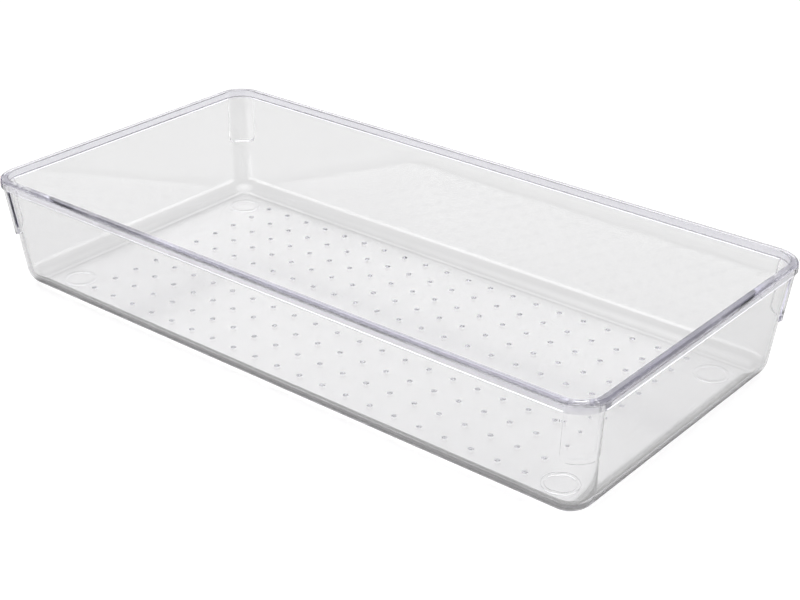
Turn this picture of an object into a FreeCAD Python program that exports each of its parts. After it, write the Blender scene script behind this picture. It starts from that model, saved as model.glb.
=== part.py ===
"""Clear drawer organizer: one shallow injection-moulded tray.

The tray stands on the XY plane, centred on the Z axis, with its long side along X.
All sizes are in millimetres.
"""
import FreeCAD, Part
import math
import os

# Overall size, measured over the rim and down to the feet
LENGTH = 304.8
WIDTH = 152.4
HEIGHT = 50.8

# Wall and floor: the wall leans out towards the rim, so that the mould can open
WALL = 2.0
FLOOR = 2.0
DRAFT_DEG = 5.8
CORNER_RADIUS = 11.0
BASE_ROUND = 9.0

# Rim: a thick solid band that stands out all round the top of the wall
RIM_HEIGHT = 4.0
RIM_OVERHANG = 2.0
RIM_TOP_ROUND = 1.6
RIM_INNER_BEVEL = 0.6
RIM_UNDER_BEVEL = 0.4

# Corner pads: raised steps round the outside of each corner, below the rim
PAD_DEPTH = 1.2
PAD_BOTTOM = 25.4
PAD_SPAN = 14.0
PAD_CORNER_ROUND = 3.0
PAD_EDGE_BEVEL = 0.4

# Ring feet under the floor, one near each corner
FOOT_HEIGHT = 0.5
FOOT_RADIUS = 7.0
FOOT_RIB = 1.2
FOOT_INSET = 25.4

# Grip bumps on the floor, in a square grid centred on the tray
BUMP_PITCH = 12.0
BUMP_COLUMNS = 20
BUMP_ROWS = 10
BUMP_RADIUS = 1.2
BUMP_TOP_RADIUS = 0.6
BUMP_HEIGHT = 0.55
BUMP_SIDES = 6

# How far one form runs into the next before the two are joined
ROOT = 0.5
SAME_HEIGHT = 0.01

ORIGIN = FreeCAD.Vector(0, 0, 0)
UP = FreeCAD.Vector(0, 0, 1)
SIDES = (1, -1)


def frustum(lower, upper):
    """Flat-sided solid between two outlines with the same number of points."""
    count = len(lower)
    downward = lower[::-1]
    faces = [Part.Face(Part.makePolygon(outline + outline[:1])) for outline in (downward, upper)]
    for here in range(count):
        after = (here + 1) % count
        side = [lower[here], lower[after], upper[after], upper[here], lower[here]]
        faces.append(Part.Face(Part.makePolygon(side)))
    return Part.Solid(Part.Shell(faces))


def rectangle(inset, height):
    """Corner points of a level rectangle, set in from the outer edge of the rim."""
    half_x = LENGTH / 2 - inset
    half_y = WIDTH / 2 - inset
    signs = ((1, 1), (-1, 1), (-1, -1), (1, -1))
    return [FreeCAD.Vector(sign_x * half_x, sign_y * half_y, height) for sign_x, sign_y in signs]


def wall_inset(height):
    """Distance from the outer edge of the rim in to the outside of the wall."""
    below_rim = HEIGHT - RIM_HEIGHT - height
    return RIM_OVERHANG + below_rim * math.tan(math.radians(DRAFT_DEG))


def edges_at(shape, height):
    """Edges that lie wholly at one height."""
    found = []
    for edge in shape.Edges:
        ends = [vertex.Z for vertex in edge.Vertexes] + [edge.CenterOfMass.z]
        if max(abs(value - height) for value in ends) < SAME_HEIGHT:
            found.append(edge)
    return found


def farthest_reach(edge):
    """How far an edge reaches out past the sides of the rim, negative inside it."""
    point = edge.CenterOfMass
    return max(abs(point.x) - LENGTH / 2, abs(point.y) - WIDTH / 2)


def upright_edges(shape):
    """Edges that join the bottom of a block to its top."""
    return [edge for edge in shape.Edges if abs(edge.Vertexes[0].Z - edge.Vertexes[-1].Z) > ROOT]


def leaning_block(grow, low, high):
    """Solid that follows the leaning wall, moved out by grow, with round corners."""
    lower = rectangle(wall_inset(low) - grow, low)
    upper = rectangle(wall_inset(high) - grow, high)
    block = frustum(lower, upper)
    return block.makeFillet(CORNER_RADIUS + grow, upright_edges(block))


def outer_form():
    """Outside of the wall and floor, with the large round along the bottom edge."""
    block = leaning_block(0.0, FOOT_HEIGHT, HEIGHT - RIM_HEIGHT + ROOT)
    return block.makeFillet(BASE_ROUND, edges_at(block, FOOT_HEIGHT))


def rim_band():
    """Solid band round the top, rounded along its outer edges."""
    low = HEIGHT - RIM_HEIGHT
    block = frustum(rectangle(0.0, low), rectangle(0.0, HEIGHT))
    band = block.makeFillet(CORNER_RADIUS + RIM_OVERHANG, upright_edges(block))
    band = band.makeFillet(RIM_TOP_ROUND, edges_at(band, HEIGHT))
    return band.makeChamfer(RIM_UNDER_BEVEL, edges_at(band, low))


def cavity():
    """Space inside the tray, with its fillet where the wall meets the floor."""
    floor_top = FOOT_HEIGHT + FLOOR
    block = leaning_block(-WALL, floor_top, HEIGHT)
    return block.makeFillet(BASE_ROUND - WALL, edges_at(block, floor_top))


def pad_window():
    """Upright plate with two round lower corners: the outline of a pad, seen along X."""
    low = FreeCAD.Vector(0, -PAD_SPAN / 2, PAD_BOTTOM)
    plate = Part.makeBox(LENGTH, PAD_SPAN, HEIGHT - RIM_HEIGHT / 2 - PAD_BOTTOM, low)
    lower = [edge for edge in edges_at(plate, PAD_BOTTOM) if edge.Length > PAD_SPAN + ROOT]
    return plate.makeFillet(PAD_CORNER_ROUND, lower)


def corner_pads():
    """Four raised pads, each wrapped round the outside of one corner."""
    sleeve = leaning_block(PAD_DEPTH, PAD_BOTTOM, HEIGHT - RIM_HEIGHT + ROOT)
    sleeve = sleeve.makeChamfer(PAD_EDGE_BEVEL, edges_at(sleeve, PAD_BOTTOM))
    pads = []
    for side_x in SIDES:
        for side_y in SIDES:
            window = pad_window()
            window.rotate(ORIGIN, UP, math.degrees(math.atan2(side_y, side_x)))
            window.translate(FreeCAD.Vector(side_x * (LENGTH - WIDTH) / 2, 0, 0))
            pads.append(sleeve.common(window))
    return pads


def foot_rings():
    """Low round ribs under the floor that the tray stands on."""
    height = FOOT_HEIGHT + ROOT
    ring = Part.makeCylinder(FOOT_RADIUS, height)
    ring = ring.cut(Part.makeCylinder(FOOT_RADIUS - FOOT_RIB, height))
    rings = []
    for side_x in SIDES:
        for side_y in SIDES:
            placed = ring.copy()
            centre_x = side_x * (LENGTH / 2 - FOOT_INSET)
            centre_y = side_y * (WIDTH / 2 - FOOT_INSET)
            placed.translate(FreeCAD.Vector(centre_x, centre_y, 0))
            rings.append(placed)
    return rings


def bump_outline(radius, height):
    """Points of one level ring of a grip bump."""
    turns = [math.radians(360 * (side + 0.5) / BUMP_SIDES) for side in range(BUMP_SIDES)]
    return [FreeCAD.Vector(radius * math.cos(turn), radius * math.sin(turn), height) for turn in turns]


def grip_bumps():
    """Low bumps that stand on the floor in rows and columns."""
    floor_top = FOOT_HEIGHT + FLOOR
    flare = (BUMP_RADIUS - BUMP_TOP_RADIUS) / BUMP_HEIGHT
    lower = bump_outline(BUMP_RADIUS + flare * ROOT, floor_top - ROOT)
    upper = bump_outline(BUMP_TOP_RADIUS, floor_top + BUMP_HEIGHT)
    bump = frustum(lower, upper)
    bumps = []
    for column in range(BUMP_COLUMNS):
        for row in range(BUMP_ROWS):
            placed = bump.copy()
            place_x = (column - (BUMP_COLUMNS - 1) / 2) * BUMP_PITCH
            place_y = (row - (BUMP_ROWS - 1) / 2) * BUMP_PITCH
            placed.translate(FreeCAD.Vector(place_x, place_y, 0))
            bumps.append(placed)
    return bumps


def inner_rim_edges(body):
    """Edges round the mouth of the tray, at the inside of the rim's flat top."""
    return [edge for edge in edges_at(body, HEIGHT) if farthest_reach(edge) < -RIM_TOP_ROUND - RIM_INNER_BEVEL]


def tray():
    """The whole moulding as one solid."""
    body = outer_form().multiFuse([rim_band()] + corner_pads() + foot_rings())
    body = body.cut(cavity())
    body = body.makeChamfer(RIM_INNER_BEVEL, inner_rim_edges(body))
    return body.multiFuse(grip_bumps())


os.makedirs("parts", exist_ok=True)
shape = tray()
shape.exportStep("parts/tray.step")
print("solids", len(shape.Solids), "volume", round(shape.Volume), "valid", shape.isValid())
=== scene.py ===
"""Clear drawer organizer: one moulded tray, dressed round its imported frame.

All sizes are in metres. The tray stands on the XY plane, with its long side along X.
"""
import logging
import math
from dataclasses import dataclass, field
from typing import Any, Sequence

import bmesh
import bpy
from mathutils import Matrix, Vector


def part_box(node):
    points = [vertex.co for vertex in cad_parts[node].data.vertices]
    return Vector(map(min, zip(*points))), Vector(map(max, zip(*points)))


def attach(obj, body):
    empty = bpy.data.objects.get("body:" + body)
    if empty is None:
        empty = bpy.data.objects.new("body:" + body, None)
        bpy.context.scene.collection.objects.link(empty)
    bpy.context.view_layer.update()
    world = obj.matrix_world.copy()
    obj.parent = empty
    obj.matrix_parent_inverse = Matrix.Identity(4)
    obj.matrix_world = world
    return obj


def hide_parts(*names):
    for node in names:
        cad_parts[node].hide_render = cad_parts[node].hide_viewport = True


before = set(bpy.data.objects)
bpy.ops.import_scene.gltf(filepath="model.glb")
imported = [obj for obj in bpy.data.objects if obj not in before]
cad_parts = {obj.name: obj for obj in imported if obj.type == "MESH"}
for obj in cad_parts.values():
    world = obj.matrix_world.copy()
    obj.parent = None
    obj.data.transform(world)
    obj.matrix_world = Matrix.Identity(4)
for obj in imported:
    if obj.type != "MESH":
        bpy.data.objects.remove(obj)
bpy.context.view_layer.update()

MM = 0.001
SAME_PLACE = 1e-6
SAME_POINT = 0.02 * MM
LEVEL_NORMAL = 0.99999
CUBIC_CM = 1e6

log = logging.getLogger("drawer_organizer")


class Wire:
    """A shader value on which plain arithmetic adds Math nodes."""

    def __init__(self, graph: "Graph", socket: bpy.types.NodeSocket) -> None:
        """Keeps the socket that carries the value and the graph that it is in."""
        self.graph = graph
        self.socket = socket

    def _math(self, operation: str, first: Any, second: Any) -> "Wire":
        """Adds one Math node.

        Args:
            operation: Name of the Math node's operation.
            first: Wire or number for its first input.
            second: Wire or number for its second input.

        Returns:
            The wire of its result.
        """
        node = self.graph.add("ShaderNodeMath", {"operation": operation}, {0: first, 1: second})
        return Wire(self.graph, node.outputs[0])

    def __add__(self, other: Any) -> "Wire":
        """Sum of two values."""
        return self._math("ADD", self, other)

    __radd__ = __add__

    def __mul__(self, other: Any) -> "Wire":
        """Product of two values."""
        return self._math("MULTIPLY", self, other)

    __rmul__ = __mul__

    def __sub__(self, other: Any) -> "Wire":
        """This value less another."""
        return self._math("SUBTRACT", self, other)

    def __rsub__(self, other: Any) -> "Wire":
        """Another value less this one."""
        return self._math("SUBTRACT", other, self)

    def __pow__(self, power: Any) -> "Wire":
        """This value raised to a power."""
        return self._math("POWER", self, power)

    def larger(self, other: Any) -> "Wire":
        """The larger of two values."""
        return self._math("MAXIMUM", self, other)


class Graph:
    """A node tree that is built node by node."""

    def __init__(self, tree: bpy.types.NodeTree) -> None:
        """Takes over the tree and empties it."""
        self.tree = tree
        tree.nodes.clear()

    def add(
        self,
        kind: str,
        settings: dict[str, Any] | None = None,
        values: dict[Any, Any] | None = None,
    ) -> bpy.types.Node:
        """Adds a node of any kind.

        Args:
            kind: Type name of the node.
            settings: Properties of the node, set before its sockets.
            values: Value, wire or socket for each input, by name or number.

        Returns:
            The new node.
        """
        node = self.tree.nodes.new(kind)
        for name, value in (settings or {}).items():
            setattr(node, name, value)
        for name, value in (values or {}).items():
            source = value.socket if isinstance(value, Wire) else value
            if isinstance(source, bpy.types.NodeSocket):
                self.tree.links.new(source, node.inputs[name])
            else:
                node.inputs[name].default_value = source
        return node

    def wire(
        self,
        kind: str,
        output: str | int,
        settings: dict[str, Any] | None = None,
        values: dict[Any, Any] | None = None,
    ) -> Wire:
        """Adds a node and gives the wire of one of its outputs.

        Args:
            kind: Type name of the node.
            output: Name or number of the output.
            settings: Properties of the node.
            values: Values or links of its inputs.

        Returns:
            The wire of that output.
        """
        return Wire(self, self.add(kind, settings, values).outputs[output])

    def step(self, value: Any, edge: float, blur: float) -> Wire:
        """A blurred step from 0 to 1 as a value passes an edge.

        Args:
            value: Wire that is compared.
            edge: Where the step is half way.
            blur: Half the width of the step.

        Returns:
            The wire of the step.
        """
        return self.wire(
            "ShaderNodeMapRange",
            0,
            {"clamp": True, "interpolation_type": "SMOOTHSTEP"},
            {"Value": value, "From Min": edge - blur, "From Max": edge + blur},
        )


@dataclass(frozen=True)
class TraySizes:
    """Sizes of the moulding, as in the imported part."""

    length: float
    width: float
    height: float
    wall: float = 2.0 * MM
    floor: float = 2.0 * MM
    draft: float = math.radians(5.8)
    corner_radius: float = 11.0 * MM
    base_round: float = 9.0 * MM
    rim_height: float = 4.0 * MM
    rim_overhang: float = 2.0 * MM
    rim_top_round: float = 1.6 * MM
    rim_inner_round: float = 0.6 * MM
    rim_under_round: float = 0.4 * MM
    foot_height: float = 0.5 * MM

    @classmethod
    def from_box(cls, low: Sequence[float], high: Sequence[float]) -> "TraySizes":
        """Sizes of the tray that fills the box between two corners."""
        return cls(high[0] - low[0], high[1] - low[1], high[2] - low[2])

    @property
    def rim_low(self) -> float:
        """Height of the underside of the rim."""
        return self.height - self.rim_height

    @property
    def floor_top(self) -> float:
        """Height of the inside of the floor."""
        return self.foot_height + self.floor

    def wall_inset(self, height: float) -> float:
        """Distance from the rim's outer edge in to the outside of the wall, at one height."""
        return self.rim_overhang + (self.rim_low - height) * math.tan(self.draft)


@dataclass(frozen=True)
class Station:
    """One level ring of the shell: a rectangle with round corners."""

    inset: float
    level: float
    radius: float


@dataclass
class CornerPads:
    """Raised pads round the outside of the four corners, below the rim."""

    depth: float = 1.2 * MM
    bottom: float = 25.4 * MM
    span: float = 14.0 * MM
    corner_round: float = 3.0 * MM
    edge_out: float = 0.05 * MM
    edge_in: float = 0.15 * MM
    side_slope: float = 0.45 * MM
    edge_step: float = 0.05 * MM
    corner_step: float = 0.25 * MM

    def reach(self, across: float, level: float) -> float:
        """How far the wall stands out at one place on a corner.

        Args:
            across: Distance from the corner's diagonal plane.
            level: Height of the place.

        Returns:
            Between 0, beside the pad, and the pad's depth, on it.
        """
        side = abs(across) - (self.span / 2 - self.corner_round)
        below = self.bottom + self.corner_round - level
        if side > 0 and below > 0:
            outside = math.hypot(side, below) - self.corner_round
        else:
            outside = max(side, below) - self.corner_round
        slope = self.side_slope if side > below else self.edge_out
        share = (slope - outside) / (slope + self.edge_in)
        share = min(max(share, 0.0), 1.0)
        return self.depth * share * share * (3 - 2 * share)

    def levels(self) -> list[float]:
        """Heights of the rings that give the pads their lower edge and round corners."""
        fine = [self.bottom + step * self.edge_step for step in range(-3, 8)]
        corner = [self.bottom + step * self.corner_step for step in range(3, 15)]
        return fine + corner


@dataclass
class GripBumps:
    """The middle of the floor, with its low round bumps, as one sheet of square tiles."""

    level: float
    material: bpy.types.Material
    columns: int = 20
    rows: int = 10
    pitch: float = 12.0 * MM
    radius: float = 1.2 * MM
    rise: float = 0.55 * MM
    sides: int = 12
    dome_rings: int = 4

    def _tree(self) -> bpy.types.NodeTree:
        """Geometry Nodes that repeat one tile with a dome over a grid."""
        tree = bpy.data.node_groups.new("grip_bumps", "GeometryNodeTree")
        sockets = tree.interface
        sockets.new_socket("Geometry", in_out="OUTPUT", socket_type="NodeSocketGeometry")
        for name in ("Pitch", "Radius", "Rise", "Level"):
            sockets.new_socket(name, in_out="INPUT", socket_type="NodeSocketFloat")
        for name in ("Columns", "Rows", "Sides"):
            sockets.new_socket(name, in_out="INPUT", socket_type="NodeSocketInt")
        graph = Graph(tree)
        inputs = graph.add("NodeGroupInput").outputs
        given = {name: Wire(graph, inputs[name]) for name in ("Pitch", "Radius", "Rise", "Columns", "Rows")}
        rings = self.dome_rings + 1
        cone = graph.add(
            "GeometryNodeMeshCone",
            {"fill_type": "NONE"},
            {
                "Vertices": inputs["Sides"],
                "Side Segments": rings,
                "Radius Top": 0.0,
                "Radius Bottom": 1.0,
                "Depth": 1.0,
            },
        )
        place = graph.add("GeometryNodeInputPosition").outputs[0]
        split = graph.add("ShaderNodeSeparateXYZ", None, {0: place})
        across, along = Wire(graph, split.outputs[0]), Wire(graph, split.outputs[1])
        reach = (across * across + along * along) ** 0.5
        turn = graph.wire("ShaderNodeMath", 0, {"operation": "ARCTAN2"}, {0: along, 1: across})
        turn = turn + math.pi / self.sides
        cosine = graph.wire("ShaderNodeMath", 0, {"operation": "COSINE"}, {0: turn})
        sine = graph.wire("ShaderNodeMath", 0, {"operation": "SINE"}, {0: turn})
        longest = graph.wire("ShaderNodeMath", 0, {"operation": "ABSOLUTE"}, {0: cosine}).larger(
            graph.wire("ShaderNodeMath", 0, {"operation": "ABSOLUTE"}, {0: sine})
        )
        quarter = reach * (rings / self.dome_rings * math.pi / 2)
        share = graph.wire("ShaderNodeMath", 0, {"operation": "SINE"}, {0: quarter})
        outermost = graph.wire(
            "ShaderNodeMath", 0, {"operation": "GREATER_THAN"}, {0: reach, 1: 1 - 0.5 / rings}
        )
        inside = 1 - outermost
        half_tile = graph.wire(
            "ShaderNodeMath", 0, {"operation": "DIVIDE"}, {0: given["Pitch"] * 0.5, 1: longest}
        )
        radius = share * given["Radius"] * inside + half_tile * outermost
        rise = (1 - share * share) * given["Rise"] * inside
        target = graph.add("ShaderNodeCombineXYZ", None, {0: radius * cosine, 1: radius * sine, 2: rise})
        tile = graph.add(
            "GeometryNodeSetPosition",
            None,
            {"Geometry": cone.outputs["Mesh"], "Position": target.outputs[0]},
        )
        grid = graph.add(
            "GeometryNodeMeshGrid",
            None,
            {
                "Size X": (given["Columns"] - 1) * given["Pitch"],
                "Size Y": (given["Rows"] - 1) * given["Pitch"],
                "Vertices X": inputs["Columns"],
                "Vertices Y": inputs["Rows"],
            },
        )
        lift = graph.add("ShaderNodeCombineXYZ", None, {2: inputs["Level"]})
        points = graph.add(
            "GeometryNodeTransform",
            None,
            {"Geometry": grid.outputs["Mesh"], "Translation": lift.outputs[0]},
        )
        spread = graph.add(
            "GeometryNodeInstanceOnPoints",
            None,
            {"Points": points.outputs[0], "Instance": tile.outputs[0]},
        )
        real = graph.add("GeometryNodeRealizeInstances", None, {"Geometry": spread.outputs[0]})
        joined = graph.add(
            "GeometryNodeMergeByDistance", None, {"Geometry": real.outputs[0], "Distance": SAME_POINT}
        )
        dressed = graph.add(
            "GeometryNodeSetMaterial", None, {"Geometry": joined.outputs[0], "Material": self.material}
        )
        graph.add("NodeGroupOutput", None, {"Geometry": dressed.outputs[0]})
        return tree

    def mesh(self) -> bpy.types.Mesh:
        """The sheet of tiles as a plain mesh."""
        tree = self._tree()
        holder = bpy.data.objects.new("grip_bumps", bpy.data.meshes.new("grip_bumps"))
        bpy.context.scene.collection.objects.link(holder)
        modifier = holder.modifiers.new("grip_bumps", "NODES")
        modifier.node_group = tree
        values = {
            "Pitch": self.pitch,
            "Radius": self.radius,
            "Rise": self.rise,
            "Level": self.level,
            "Columns": self.columns,
            "Rows": self.rows,
            "Sides": self.sides,
        }
        for item in tree.interface.items_tree:
            if item.in_out == "INPUT":
                modifier[item.identifier] = values[item.name]
        holder.update_tag()
        seen = holder.evaluated_get(bpy.context.evaluated_depsgraph_get())
        mesh = bpy.data.meshes.new_from_object(seen)
        bpy.data.objects.remove(holder)
        return mesh


@dataclass
class RingFeet:
    """Low round ribs under the floor that the tray stands on."""

    sizes: TraySizes
    radius: float = 7.0 * MM
    rib: float = 1.2 * MM
    inset: float = 25.4 * MM
    edge: float = 0.08 * MM
    segments: int = 96
    edge_steps: int = 3

    def _profile(self) -> list[tuple[float, float]]:
        """Radius and height of each ring of a foot, from its outside to its inside."""
        points = [(self.radius, self.sizes.foot_height)]
        for side, start in ((self.radius - self.edge, 0.0), (self.radius - self.rib + self.edge, 90.0)):
            for step in range(self.edge_steps + 1):
                turn = math.radians(start + 90.0 * step / self.edge_steps)
                points.append((side + self.edge * math.cos(turn), self.edge * (1 - math.sin(turn))))
        points.append((self.radius - self.rib, self.sizes.foot_height))
        return points

    def add_to(self, body: bmesh.types.BMesh) -> None:
        """Adds the four feet, open at the outside where the underside meets them."""
        for sign_x in (1, -1):
            for sign_y in (1, -1):
                middle_x = sign_x * (self.sizes.length / 2 - self.inset)
                middle_y = sign_y * (self.sizes.width / 2 - self.inset)
                self._add_foot(body, middle_x, middle_y)

    def _add_foot(self, body: bmesh.types.BMesh, middle_x: float, middle_y: float) -> None:
        """Adds one foot and the round of floor inside it."""
        turns = [2 * math.pi * step / self.segments for step in range(self.segments)]
        rings = []
        for radius, level in self._profile():
            ring = []
            for turn in turns:
                place = (middle_x + radius * math.cos(turn), middle_y + radius * math.sin(turn), level)
                ring.append(body.verts.new(place))
            rings.append(ring)
        for upper, lower in zip(rings, rings[1:]):
            for here in range(self.segments):
                after = (here + 1) % self.segments
                body.faces.new((upper[here], lower[here], lower[after], upper[after]))
        body.faces.new(rings[-1][::-1])


@dataclass
class MouldedTray:
    """The tray's shell: floor, leaning walls, rim, pads, bumps and feet as one closed mesh.

    Each corner has one column of faces a degree, and two where the sides of a pad step back to the wall.
    """

    sizes: TraySizes
    material: bpy.types.Material
    pads: CornerPads = field(default_factory=CornerPads)
    round_steps: int = 40
    rim_steps: int = 16
    half_corner: float = 45.0
    pad_side_from: float = 32.0
    pad_side_to: float = 38.0
    below_pads: float = 18.0 * MM
    above_pads: tuple[float, float] = (34.0 * MM, 42.0 * MM)
    name: str = "moulded_tray"

    def _turns(self) -> list[float]:
        """Angles of the columns across one corner, from its diagonal, in degrees."""
        half = []
        turn = 0.0
        while turn <= self.half_corner:
            half.append(turn)
            turn += 0.5 if self.pad_side_from <= turn < self.pad_side_to else 1.0
        return [-turn for turn in half[:0:-1]] + half

    def _round(self, middle: float, low: float, radius: float, path: float, steps: int) -> list[Station]:
        """Rings of the round between a level face and the leaning wall above it.

        Args:
            middle: Inset of the round's centre line.
            low: Height of the level face.
            radius: Radius of the round.
            path: Corner radius of the round's centre line, seen from above.
            steps: Number of strips that it is made of.

        Returns:
            The rings from the level face up to the wall.
        """
        rings = []
        for step in range(steps + 1):
            turn = (math.pi / 2 - self.sizes.draft) * step / steps
            out = radius * math.sin(turn)
            rings.append(Station(middle - out, low + radius * (1 - math.cos(turn)), path + out))
        return rings

    def _outside(self) -> list[Station]:
        """Rings of the outside, from the underside up to the foot of the rim."""
        size = self.sizes
        lean = math.cos(size.draft)
        middle = size.wall_inset(size.foot_height + size.base_round) + size.base_round / lean
        path = size.corner_radius - size.base_round * lean
        rings = self._round(middle, size.foot_height, size.base_round, path, self.round_steps)
        for level in (self.below_pads, *self.pads.levels(), *self.above_pads, size.rim_low):
            rings.append(Station(size.wall_inset(level), level, size.corner_radius))
        return rings

    def _rim(self) -> list[Station]:
        """Rings of the rim, from its underside over its top to its inner edge."""
        size = self.sizes
        corner = size.corner_radius + size.rim_overhang
        rings = []
        for step in range(self.rim_steps // 4 + 1):
            turn = math.pi / 2 * step / (self.rim_steps // 4)
            inset = size.rim_under_round * (1 - math.sin(turn))
            level = size.rim_low + size.rim_under_round * (1 - math.cos(turn))
            rings.append(Station(inset, level, corner - inset))
        for step in range(self.rim_steps + 1):
            turn = math.pi / 2 * step / self.rim_steps
            inset = size.rim_top_round * (1 - math.cos(turn))
            level = size.height - size.rim_top_round * (1 - math.sin(turn))
            rings.append(Station(inset, level, corner - inset))
        inner = size.corner_radius - size.wall
        edge = size.rim_inner_round
        low = size.height - edge
        middle = size.wall_inset(low) + size.wall - edge / math.cos(size.draft)
        for step in range(self.rim_steps // 2 + 1):
            turn = (math.pi / 2 + size.draft) * step / (self.rim_steps // 2)
            inset = middle + edge * math.sin(turn)
            level = low + edge * math.cos(turn)
            corner_here = inner + size.wall_inset(level) + size.wall - inset
            rings.append(Station(inset, level, corner_here))
        return rings

    def _inside(self) -> list[Station]:
        """Rings of the inside, from the top of its fillet down to the floor."""
        size = self.sizes
        radius = size.base_round - size.wall
        lean = math.cos(size.draft)
        middle = size.wall_inset(size.floor_top + radius) + size.wall + radius / lean
        path = size.corner_radius - size.wall - radius * lean
        rings = self._round(middle, size.floor_top, radius, path, self.round_steps)
        return rings[::-1]

    def _ring(self, body: bmesh.types.BMesh, station: Station, padded: bool) -> list[bmesh.types.BMVert]:
        """Adds the points of one ring.

        Args:
            body: Mesh that takes the points.
            station: Place and size of the ring.
            padded: True on the outside of the wall, where the corner pads stand out.

        Returns:
            The points, once round from the corner at +X +Y.
        """
        half_x = self.sizes.length / 2 - station.inset - station.radius
        half_y = self.sizes.width / 2 - station.inset - station.radius
        ring = []
        for quarter, (sign_x, sign_y) in enumerate(((1, 1), (-1, 1), (-1, -1), (1, -1))):
            for turn in self._turns():
                angle = math.radians(45.0 + 90.0 * quarter + turn)
                radius = station.radius
                if padded:
                    across = (radius + self.pads.depth) * math.sin(math.radians(turn))
                    radius += self.pads.reach(across, station.level)
                place = (
                    sign_x * half_x + radius * math.cos(angle),
                    sign_y * half_y + radius * math.sin(angle),
                    station.level,
                )
                ring.append(body.verts.new(place))
        return ring

    def _add_shell(self, body: bmesh.types.BMesh) -> None:
        """Adds the shell between the underside and the floor, in plain strips too narrow to see."""
        outside = self._outside()
        stations = outside + self._rim() + self._inside()
        rings = [
            self._ring(body, station, self.round_steps < here < len(outside))
            for here, station in enumerate(stations)
        ]
        for lower, upper in zip(rings, rings[1:]):
            for here in range(len(lower)):
                after = (here + 1) % len(lower)
                body.faces.new((lower[here], lower[after], upper[after], upper[here]))

    def _fill(self, body: bmesh.types.BMesh, level: float) -> None:
        """Closes the flat face at one height, between its outline and what stands on it."""
        edges = []
        for edge in body.edges:
            if edge.is_boundary and all(abs(point.co.z - level) < SAME_PLACE for point in edge.verts):
                edges.append(edge)
        bmesh.ops.triangle_fill(body, use_beauty=True, edges=edges, normal=(0, 0, 1))

    def build(self) -> bpy.types.Object:
        """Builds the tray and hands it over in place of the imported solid."""
        body = bmesh.new()
        bumps = GripBumps(level=self.sizes.floor_top, material=self.material)
        body.from_mesh(bumps.mesh())
        for face in body.faces:
            face.smooth = True
        self._add_shell(body)
        RingFeet(self.sizes).add_to(body)
        self._fill(body, self.sizes.floor_top)
        self._fill(body, self.sizes.foot_height)
        bmesh.ops.recalc_face_normals(body, faces=body.faces)
        if body.calc_volume(signed=True) < 0:
            bmesh.ops.reverse_faces(body, faces=body.faces)
        for face in body.faces:
            if abs(face.normal.z) > LEVEL_NORMAL:
                face.smooth = False
        open_edges = sum(1 for edge in body.edges if not edge.is_manifold)
        volume = body.calc_volume(signed=True)
        mesh = bpy.data.meshes.new(self.name)
        body.to_mesh(mesh)
        body.free()
        mesh.materials.clear()
        mesh.materials.append(self.material)
        piece = bpy.data.objects.new(self.name, mesh)
        bpy.context.scene.collection.objects.link(piece)
        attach(piece, "root")
        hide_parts("tray")
        log.info(
            "%s: %d faces, %.1f cm3, open edges %d",
            self.name,
            len(mesh.polygons),
            volume * CUBIC_CM,
            open_edges,
        )
        return piece


@dataclass(frozen=True)
class ClearPlastic:
    """Clear rigid plastic with a faint violet cast that shows where it is thick, and painted shade on its
    rim.

    The upper side of the floor has a soft grain. The whole surface is slightly wavy, most of all low down.
    """

    sizes: TraySizes
    ior: float = 1.59
    tint: tuple[float, float, float, float] = (0.988, 0.987, 0.989, 1.0)
    # painted shade: the rim's darker, more violet base colour, standing in for light lost in the thick rim
    rim_painted_shade_tint: tuple[float, float, float, float] = (0.94, 0.932, 0.985, 1.0)
    absorbed: tuple[float, float, float, float] = (0.70, 0.67, 0.88, 1.0)
    density: float = 2.5
    polish: float = 0.012
    haze: float = 0.03
    rubbed_scale: float = 9.0
    rubbed_contrast: float = 4.0
    flow_scale: float = 38.0
    flow_depth: float = 0.04 * MM
    floor_flow: float = 3.0
    floor_flow_reach: float = 2.0 * MM
    floor_flow_blur: float = 1.5 * MM
    floor_grain: float = 0.14
    edge: float = 0.1 * MM

    def build(self) -> bpy.types.Material:
        """The material, with painted shade on the rim: a base colour a little darker and more violet than
        the rest.
        """
        material = bpy.data.materials.new("clear_plastic")
        material.use_nodes = True
        graph = Graph(material.node_tree)
        place = graph.add("ShaderNodeTexCoord").outputs["Object"]
        flow = graph.wire(
            "ShaderNodeTexNoise", 0, None, {"Vector": place, "Scale": self.flow_scale, "Detail": 2.0}
        )
        rubbed = graph.wire(
            "ShaderNodeTexNoise",
            0,
            None,
            {"Vector": place, "Scale": self.rubbed_scale, "Detail": 5.0, "Roughness": 0.7},
        )
        level = graph.wire("ShaderNodeSeparateXYZ", 2, None, {0: place})
        over = graph.step(level, self.sizes.floor_top - self.edge, self.edge)
        under = 1 - graph.step(level, self.sizes.floor_top + self.edge, self.edge)
        haze = (rubbed ** self.rubbed_contrast) * self.haze
        roughness = self.polish + haze + over * under * self.floor_grain
        reach = self.sizes.floor_top + self.floor_flow_reach
        above_floor = graph.step(level, reach, self.floor_flow_blur)
        height = flow * (1 + (1 - above_floor) * self.floor_flow)
        bump = graph.add(
            "ShaderNodeBump", None, {"Height": height, "Distance": self.flow_depth, "Strength": 1.0}
        )
        # Painted shade: above the rim's underside the base colour turns darker and more violet, for the
        # light that the thick rim loses.
        on_rim = graph.step(level, self.sizes.rim_low, self.edge)
        colour = graph.add(
            "ShaderNodeMix", {"data_type": "RGBA"}, {"Factor": on_rim, 6: self.tint, 7: self.rim_painted_shade_tint}
        )
        glass = graph.add(
            "ShaderNodeBsdfPrincipled",
            None,
            {
                "Base Color": colour.outputs[2],
                "Roughness": roughness,
                "IOR": self.ior,
                "Transmission Weight": 1.0,
                "Normal": bump.outputs[0],
            },
        )
        depth = graph.add(
            "ShaderNodeVolumeAbsorption", None, {"Color": self.absorbed, "Density": self.density}
        )
        graph.add(
            "ShaderNodeOutputMaterial",
            None,
            {"Surface": glass.outputs[0], "Volume": depth.outputs[0]},
        )
        return material


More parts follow.
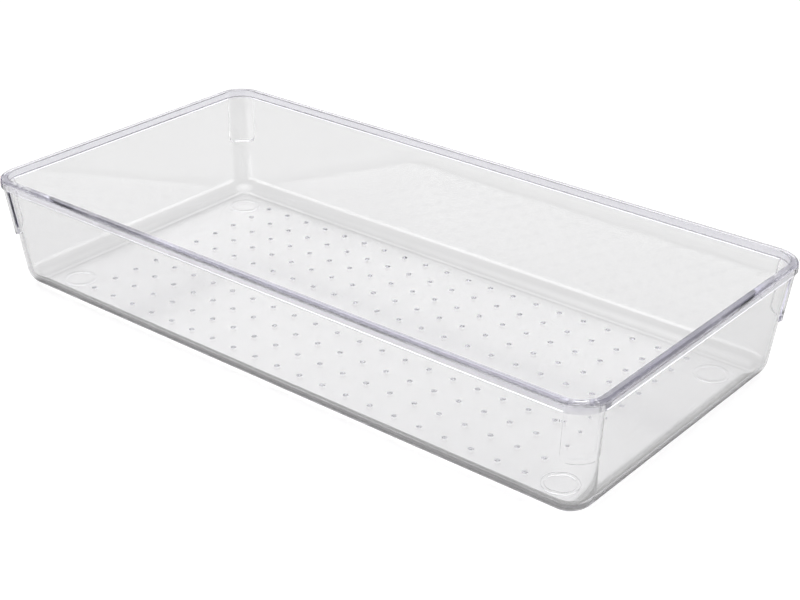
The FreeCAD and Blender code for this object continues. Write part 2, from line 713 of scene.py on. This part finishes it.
@dataclass(frozen=True)
class Camera:
    """The camera that took the portrait, as solved from the tray's outline."""

    focal_length: float = 73.32
    sensor_width: float = 36.0
    azimuth: float = math.radians(39.281)
    elevation: float = math.radians(26.896)
    roll: float = math.radians(0.291)
    distance: float = 700.477 * MM
    target: tuple[float, float, float] = (-8.028 * MM, 23.899 * MM, 0.0)

    def build(self) -> bpy.types.Object:
        """Places the camera and makes it the scene's own."""
        back = Vector((
            math.sin(self.azimuth) * math.cos(self.elevation),
            -math.cos(self.azimuth) * math.cos(self.elevation),
            math.sin(self.elevation),
        ))
        level_right = Vector((0, 0, 1)).cross(back).normalized()
        level_up = back.cross(level_right)
        right = level_right * math.cos(self.roll) + level_up * math.sin(self.roll)
        above = level_up * math.cos(self.roll) - level_right * math.sin(self.roll)
        place = Vector(self.target) + back * self.distance
        data = bpy.data.cameras.new("portrait")
        data.lens = self.focal_length
        data.sensor_fit = "HORIZONTAL"
        data.sensor_width = self.sensor_width
        data.clip_start = 0.01
        camera = bpy.data.objects.new("portrait", data)
        camera.matrix_world = Matrix.Translation(place) @ Matrix((right, above, back)).transposed().to_4x4()
        bpy.context.scene.collection.objects.link(camera)
        bpy.context.scene.camera = camera
        return camera


@dataclass(frozen=True)
class SoftLight:
    """One wide soft light in the studio, far off, with blurred edges."""

    level: float
    low: float
    high: float
    heading: float = 0.0
    spread: float = 180.0
    blur: float = 0.12

    def strength(self, graph: Graph, east: Wire, north: Wire, up: Wire) -> Wire:
        """How brightly this light shines from each direction.

        Args:
            graph: Tree that takes the nodes.
            east: X part of the direction.
            north: Y part of the direction.
            up: Z part of the direction.

        Returns:
            The wire of its level, 0 outside it.
        """
        lit = graph.step(up, math.sin(math.radians(self.low)), self.blur)
        if self.high < 90.0:
            lit = lit * (1 - graph.step(up, math.sin(math.radians(self.high)), self.blur))
        if self.spread < 180.0:
            turn = math.radians(self.heading)
            ahead = east * math.cos(turn) + north * math.sin(turn)
            level = (east * east + north * north) ** 0.5
            edge = math.cos(math.radians(self.spread))
            lit = lit * graph.step(ahead - level * edge, 0.0, self.blur)
        return lit * self.level


@dataclass(frozen=True)
class Studio:
    """A plain white table, with a painted shade band under the tray's foot, and soft lights above it,
    behind it and at both sides.
    """

    sizes: TraySizes
    table_size: float = 6.0
    table_colour: tuple[float, float, float, float] = (0.85, 0.85, 0.85, 1.0)
    table_lift: float = 0.4
    # painted shade: the table's colour in the band under the tray's foot
    shade_colour: tuple[float, float, float, float] = (0.33, 0.33, 0.33, 1.0)
    shade_outside: float = 6.0 * MM
    shade_inside: float = 16.5 * MM
    shade_blur: float = 1.0 * MM
    front_heading: float = math.radians(-50.7)
    table_gap: float = 0.05 * MM
    table_polish: float = 0.12
    table_ior: float = 1.5
    white: tuple[float, float, float, float] = (1.0, 1.0, 1.0, 1.0)
    room: float = 0.18
    lights: tuple[SoftLight, ...] = (
        SoftLight(level=1.55, low=58.0, high=90.0),
        SoftLight(level=1.6, low=17.5, high=37.0, heading=129.3, spread=45.0),
        SoftLight(level=0.2, low=17.5, high=37.0, heading=39.3, spread=45.0),
        SoftLight(level=2.2, low=-3.0, high=17.5, heading=39.3, spread=30.0),
        SoftLight(level=2.2, low=-3.0, high=17.5, heading=241.8, spread=45.0),
    )
    glass_bounces: int = 72

    def _shade(self, graph: Graph) -> Wire:
        """How far a place on the table lies in the dark band under the tray's foot.

        The band is painted to match the dark line along the foot in the photo. It lies under the front and
        the right edge only, and follows the large round along the bottom of the wall.

        Args:
            graph: Tree of the table's material.

        Returns:
            The wire of the shade, from 0 to 1.
        """
        place = graph.add("ShaderNodeTexCoord").outputs["Object"]
        parts = graph.add("ShaderNodeSeparateXYZ", None, {0: place}).outputs
        east, north = Wire(graph, parts[0]), Wire(graph, parts[1])
        corner = self.sizes.corner_radius + self.sizes.wall_inset(self.sizes.foot_height)
        past = []
        for along, size in ((east, self.sizes.length), (north, self.sizes.width)):
            limits = {"Value": along, "Min": corner - size / 2, "Max": size / 2 - corner}
            past.append(along - graph.wire("ShaderNodeClamp", 0, None, limits))
        reach = (past[0] * past[0] + past[1] * past[1]) ** 0.5 - corner
        inner = graph.step(reach, -self.shade_inside, self.shade_blur)
        outer = graph.step(reach, -self.shade_outside, self.shade_blur)
        ahead = past[0] * math.cos(self.front_heading) + past[1] * math.sin(self.front_heading)
        return inner * (1 - outer) * graph.step(ahead, 0.0, self.shade_blur)

    def _table(self) -> None:
        """The table, white where the camera sees it, with a painted shade band that shows only through the
        tray.
        """
        material = bpy.data.materials.new("white_table")
        material.use_nodes = True
        graph = Graph(material.node_tree)
        camera_ray = Wire(graph, graph.add("ShaderNodeLightPath").outputs["Is Camera Ray"])
        # Painted shade: the band under the foot takes the dark shade colour, only for rays that come
        # through the tray.
        colour = graph.add(
            "ShaderNodeMix",
            {"data_type": "RGBA"},
            {"Factor": self._shade(graph) * (1 - camera_ray), 6: self.table_colour, 7: self.shade_colour},
        )
        matt = graph.add("ShaderNodeBsdfDiffuse", None, {"Color": colour.outputs[2]})
        glow = graph.add(
            "ShaderNodeEmission", None, {"Color": self.white, "Strength": camera_ray * self.table_lift}
        )
        both = graph.add("ShaderNodeAddShader", None, {0: matt.outputs[0], 1: glow.outputs[0]})
        polished = graph.add(
            "ShaderNodeBsdfGlossy", None, {"Color": self.white, "Roughness": self.table_polish}
        )
        mirror = graph.wire("ShaderNodeFresnel", 0, None, {"IOR": self.table_ior}) * (1 - camera_ray)
        surface = graph.add(
            "ShaderNodeMixShader", None, {0: mirror, 1: both.outputs[0], 2: polished.outputs[0]}
        )
        graph.add("ShaderNodeOutputMaterial", None, {"Surface": surface.outputs[0]})
        half = self.table_size / 2
        level = -self.table_gap
        corners = [(-half, -half, level), (half, -half, level), (half, half, level), (-half, half, level)]
        mesh = bpy.data.meshes.new("table")
        mesh.from_pydata(corners, [], [(0, 1, 2, 3)])
        mesh.materials.append(material)
        table = bpy.data.objects.new("table", mesh)
        bpy.context.scene.collection.objects.link(table)

    def _sky(self) -> None:
        """The soft lights in a dim room, white where the camera looks past the tray."""
        world = bpy.data.worlds.new("soft_room")
        world.use_nodes = True
        bpy.context.scene.world = world
        graph = Graph(world.node_tree)
        heading = graph.add("ShaderNodeTexCoord").outputs["Generated"]
        parts = graph.add("ShaderNodeSeparateXYZ", None, {0: heading}).outputs
        east, north, up = (Wire(graph, part) for part in parts)
        camera_ray = Wire(graph, graph.add("ShaderNodeLightPath").outputs["Is Camera Ray"])
        level: Any = self.room
        for light in self.lights:
            level = light.strength(graph, east, north, up) + level
        strength = level * (1 - camera_ray) + camera_ray
        sky = graph.add("ShaderNodeBackground", None, {"Color": self.white, "Strength": strength})
        graph.add("ShaderNodeOutputWorld", None, {"Surface": sky.outputs[0]})

    def build(self) -> None:
        """Sets the table, the light and the plain view transform."""
        self._table()
        self._sky()
        scene = bpy.context.scene
        scene.view_settings.view_transform = "Standard"
        scene.cycles.blur_glossy = 0.0
        scene.cycles.max_bounces = self.glass_bounces
        scene.cycles.glossy_bounces = self.glass_bounces
        scene.cycles.transmission_bounces = self.glass_bounces


def main() -> None:
    """Builds the tray, its studio and its camera."""
    logging.basicConfig(level=logging.INFO, format="%(name)s %(message)s")
    sizes = TraySizes.from_box(*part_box("tray"))
    plastic = ClearPlastic(sizes).build()
    MouldedTray(sizes, plastic).build()
    Studio(sizes).build()
    Camera().build()


if __name__ == "__main__":
    main()
